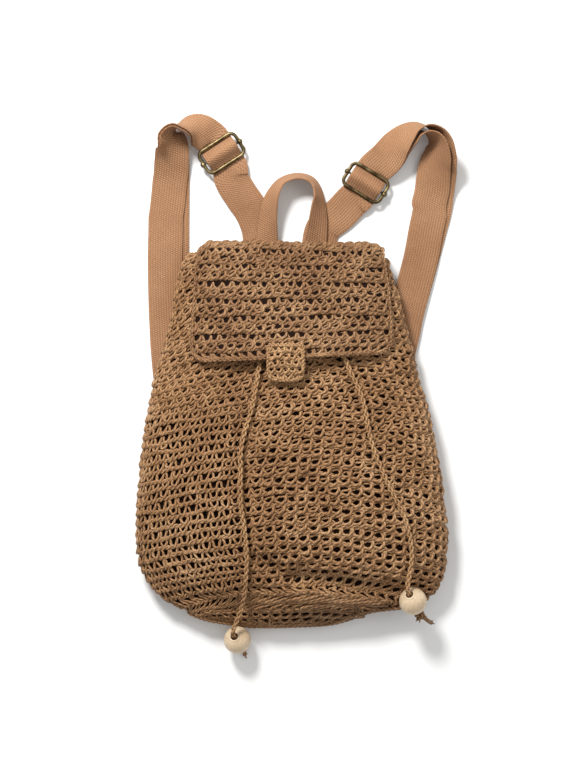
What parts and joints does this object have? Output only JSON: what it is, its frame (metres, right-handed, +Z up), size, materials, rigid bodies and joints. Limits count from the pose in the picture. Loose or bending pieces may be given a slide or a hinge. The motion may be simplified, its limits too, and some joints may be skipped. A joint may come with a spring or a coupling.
{
  "type": "woven straw backpack",
  "caption": "Crocheted straw backpack lying on its back, with a flap and tab, a drawstring with wooden beads, webbing shoulder straps with wire sliders, and a carrying handle.",
  "frame": {"origin": "middle of the flat of the bag's back, on the surface that it lies on", "axes": "+Y from the bottom of the bag to its mouth, +Z up out of its front, +X to the right of the front as seen from above"},
  "size_m": [0.294, 0.5011, 0.0663],
  "materials": {
    "straw": "crocheted twisted paper straw yarn, matt with a faint sheen along the strands",
    "straw_cord": "chain-stitched cord of the same paper straw yarn",
    "webbing": "matt woven webbing with a fine plain weave and bound edges",
    "antique_brass": "antique brass wire, polished on its high places and darker in its corners",
    "pale_wood": "turned pale wood with a fine grain and a soft wax sheen"
  },
  "bodies": {
    "root": {"bag_body": "straw", "flap": "straw", "flap_tab": "straw", "drawstring_loop": "straw_cord", "drawstring_left": "straw_cord", "drawstring_right": "straw_cord", "knot_left": "straw_cord", "knot_right": "straw_cord", "bead_left": "pale_wood", "bead_right": "pale_wood", "handle": "webbing", "strap_left": "webbing", "strap_right": "webbing", "ring_tab_left": "webbing", "ring_tab_right": "webbing", "slider_frame_left": "antique_brass", "slider_frame_right": "antique_brass", "slider_bar_left": "antique_brass", "slider_bar_right": "antique_brass", "strap_ring_left": "antique_brass", "strap_ring_right": "antique_brass"}
  },
  "joints": []
}
